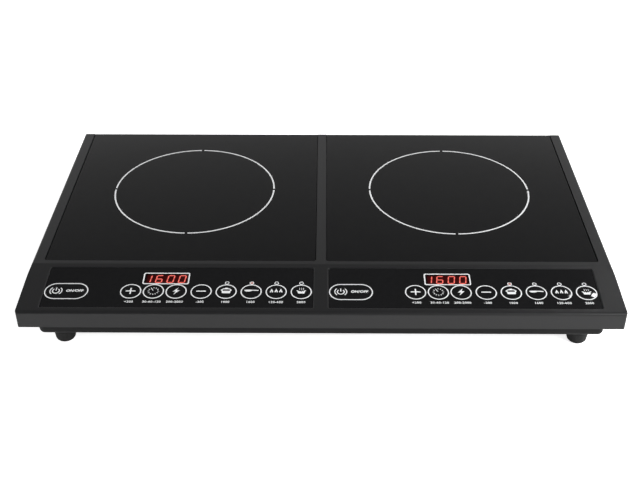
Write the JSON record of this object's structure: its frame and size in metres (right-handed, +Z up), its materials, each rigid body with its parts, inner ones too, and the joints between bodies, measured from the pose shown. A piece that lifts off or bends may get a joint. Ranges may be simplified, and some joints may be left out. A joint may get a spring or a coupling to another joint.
{
  "type": "double induction cooktop",
  "caption": "Portable double induction hob: black glass plates with printed ring zones in a moulded frame, a sloping key and display strip in front, and a vented base tray on rubber feet.",
  "frame": {"origin": "on the table surface, under the middle of the body's width and depth", "axes": "+X to the user's right along the long side, +Y to the rear, +Z up out of the glass; the controls face -Y"},
  "size_m": [0.6, 0.356, 0.0637],
  "materials": {
    "frame_plastic": "fine matt moulded texture",
    "tray_plastic": "fine matt moulded texture",
    "foot_rubber": "matt moulded rubber",
    "screw_steel": "bright zinc plating",
    "bushing_rubber": "matt moulded rubber",
    "black_glass": "polished black glass ceramic",
    "mica": "pressed mica sheet",
    "coil_copper": "enamelled stranded copper",
    "former_plastic": "moulded heat-resistant resin",
    "ferrite": "sintered ferrite",
    "sensor": "silicone-coated bead",
    "circuit_board": "solder mask over glass epoxy",
    "sink_aluminium": "extruded, plain",
    "capacitor_film": "moulded box",
    "choke_wire": "enamelled wire on a coated core",
    "fan_plastic": "moulded",
    "overlay_gloss": "glossy printed sheet",
    "window_red": "smoked red filter",
    "display_module": "moulded digit block",
    "switch_plastic": "moulded",
    "lamp_clear": "clear epoxy",
    "print_ink": "screen-printed white enamel",
    "lit_red": "red light-emitting segments",
    "key_gloss": "glossy printed cap"
  },
  "bodies": {
    "housing": {"top_frame": "frame_plastic", "base_tray": "tray_plastic", "rubber_feet": "foot_rubber", "housing_screws": "screw_steel", "inner_screws": "screw_steel", "cord_bushing": "bushing_rubber", "glass_plate_left": "black_glass", "glass_plate_right": "black_glass", "mica_sheet_left": "mica", "mica_sheet_right": "mica", "coil_winding_left": "coil_copper", "coil_winding_right": "coil_copper", "coil_former_left": "former_plastic", "coil_former_right": "former_plastic", "ferrite_bars_left": "ferrite", "ferrite_bars_right": "ferrite", "thermistor_left": "sensor", "thermistor_right": "sensor", "power_board_left": "circuit_board", "power_board_right": "circuit_board", "heat_sink_left": "sink_aluminium", "heat_sink_right": "sink_aluminium", "filter_capacitors_left": "capacitor_film", "filter_capacitors_right": "capacitor_film", "filter_choke_left": "choke_wire", "filter_choke_right": "choke_wire", "fan_frame_left": "fan_plastic", "fan_frame_right": "fan_plastic", "control_overlay_left": "overlay_gloss", "control_overlay_right": "overlay_gloss", "display_window_left": "window_red", "display_window_right": "window_red", "digit_display_left": "display_module", "digit_display_right": "display_module", "control_board_left": "circuit_board", "control_board_right": "circuit_board", "tact_switches_left": "switch_plastic", "tact_switches_right": "switch_plastic", "indicator_lamps_left": "lamp_clear", "indicator_lamps_right": "lamp_clear"},
    "fan_rotor_left": {"fan_rotor_left": "fan_plastic"},
    "fan_rotor_right": {"fan_rotor_right": "fan_plastic"},
    "key_power_left": {"key_power_left": "key_gloss"},
    "key_power_right": {"key_power_right": "key_gloss"},
    "key_plus_left": {"key_plus_left": "key_gloss"},
    "key_plus_right": {"key_plus_right": "key_gloss"},
    "key_timer_left": {"key_timer_left": "key_gloss"},
    "key_timer_right": {"key_timer_right": "key_gloss"},
    "key_wattage_left": {"key_wattage_left": "key_gloss"},
    "key_wattage_right": {"key_wattage_right": "key_gloss"},
    "key_minus_left": {"key_minus_left": "key_gloss"},
    "key_minus_right": {"key_minus_right": "key_gloss"},
    "key_stew_left": {"key_stew_left": "key_gloss"},
    "key_stew_right": {"key_stew_right": "key_gloss"},
    "key_fry_left": {"key_fry_left": "key_gloss"},
    "key_fry_right": {"key_fry_right": "key_gloss"},
    "key_warm_left": {"key_warm_left": "key_gloss"},
    "key_warm_right": {"key_warm_right": "key_gloss"},
    "key_boil_left": {"key_boil_left": "key_gloss"},
    "key_boil_right": {"key_boil_right": "key_gloss"}
  },
  "joints": [
    {"name": "fan_left_spin", "type": "hinge", "parent": "housing", "child": "fan_rotor_left", "pos_m": [-0.14667, 0.118, 0.0275], "axis": [0, 0, 1], "continuous": true},
    {"name": "fan_right_spin", "type": "hinge", "parent": "housing", "child": "fan_rotor_right", "pos_m": [0.14667, 0.118, 0.0275], "axis": [0, 0, 1], "continuous": true},
    {"name": "key_power_left_press", "type": "slide", "parent": "housing", "child": "key_power_left", "axis": [0, 0.0872, -0.9962], "range_m": [0, 0.0004], "stiffness_N_per_m": 400, "springref_m": -0.002},
    {"name": "key_power_right_press", "type": "slide", "parent": "housing", "child": "key_power_right", "axis": [0, 0.0872, -0.9962], "range_m": [0, 0.0004], "stiffness_N_per_m": 400, "springref_m": -0.002},
    {"name": "key_plus_left_press", "type": "slide", "parent": "housing", "child": "key_plus_left", "axis": [0, 0.0872, -0.9962], "range_m": [0, 0.0004], "stiffness_N_per_m": 400, "springref_m": -0.002},
    {"name": "key_plus_right_press", "type": "slide", "parent": "housing", "child": "key_plus_right", "axis": [0, 0.0872, -0.9962], "range_m": [0, 0.0004], "stiffness_N_per_m": 400, "springref_m": -0.002},
    {"name": "key_timer_left_press", "type": "slide", "parent": "housing", "child": "key_timer_left", "axis": [0, 0.0872, -0.9962], "range_m": [0, 0.0004], "stiffness_N_per_m": 400, "springref_m": -0.002},
    {"name": "key_timer_right_press", "type": "slide", "parent": "housing", "child": "key_timer_right", "axis": [0, 0.0872, -0.9962], "range_m": [0, 0.0004], "stiffness_N_per_m": 400, "springref_m": -0.002},
    {"name": "key_wattage_left_press", "type": "slide", "parent": "housing", "child": "key_wattage_left", "axis": [0, 0.0872, -0.9962], "range_m": [0, 0.0004], "stiffness_N_per_m": 400, "springref_m": -0.002},
    {"name": "key_wattage_right_press", "type": "slide", "parent": "housing", "child": "key_wattage_right", "axis": [0, 0.0872, -0.9962], "range_m": [0, 0.0004], "stiffness_N_per_m": 400, "springref_m": -0.002},
    {"name": "key_minus_left_press", "type": "slide", "parent": "housing", "child": "key_minus_left", "axis": [0, 0.0872, -0.9962], "range_m": [0, 0.0004], "stiffness_N_per_m": 400, "springref_m": -0.002},
    {"name": "key_minus_right_press", "type": "slide", "parent": "housing", "child": "key_minus_right", "axis": [0, 0.0872, -0.9962], "range_m": [0, 0.0004], "stiffness_N_per_m": 400, "springref_m": -0.002},
    {"name": "key_stew_left_press", "type": "slide", "parent": "housing", "child": "key_stew_left", "axis": [0, 0.0872, -0.9962], "range_m": [0, 0.0004], "stiffness_N_per_m": 400, "springref_m": -0.002},
    {"name": "key_stew_right_press", "type": "slide", "parent": "housing", "child": "key_stew_right", "axis": [0, 0.0872, -0.9962], "range_m": [0, 0.0004], "stiffness_N_per_m": 400, "springref_m": -0.002},
    {"name": "key_fry_left_press", "type": "slide", "parent": "housing", "child": "key_fry_left", "axis": [0, 0.0872, -0.9962], "range_m": [0, 0.0004], "stiffness_N_per_m": 400, "springref_m": -0.002},
    {"name": "key_fry_right_press", "type": "slide", "parent": "housing", "child": "key_fry_right", "axis": [0, 0.0872, -0.9962], "range_m": [0, 0.0004], "stiffness_N_per_m": 400, "springref_m": -0.002},
    {"name": "key_warm_left_press", "type": "slide", "parent": "housing", "child": "key_warm_left", "axis": [0, 0.0872, -0.9962], "range_m": [0, 0.0004], "stiffness_N_per_m": 400, "springref_m": -0.002},
    {"name": "key_warm_right_press", "type": "slide", "parent": "housing", "child": "key_warm_right", "axis": [0, 0.0872, -0.9962], "range_m": [0, 0.0004], "stiffness_N_per_m": 400, "springref_m": -0.002},
    {"name": "key_boil_left_press", "type": "slide", "parent": "housing", "child": "key_boil_left", "axis": [0, 0.0872, -0.9962], "range_m": [0, 0.0004], "stiffness_N_per_m": 400, "springref_m": -0.002},
    {"name": "key_boil_right_press", "type": "slide", "parent": "housing", "child": "key_boil_right", "axis": [0, 0.0872, -0.9962], "range_m": [0, 0.0004], "stiffness_N_per_m": 400, "springref_m": -0.002}
  ]
}
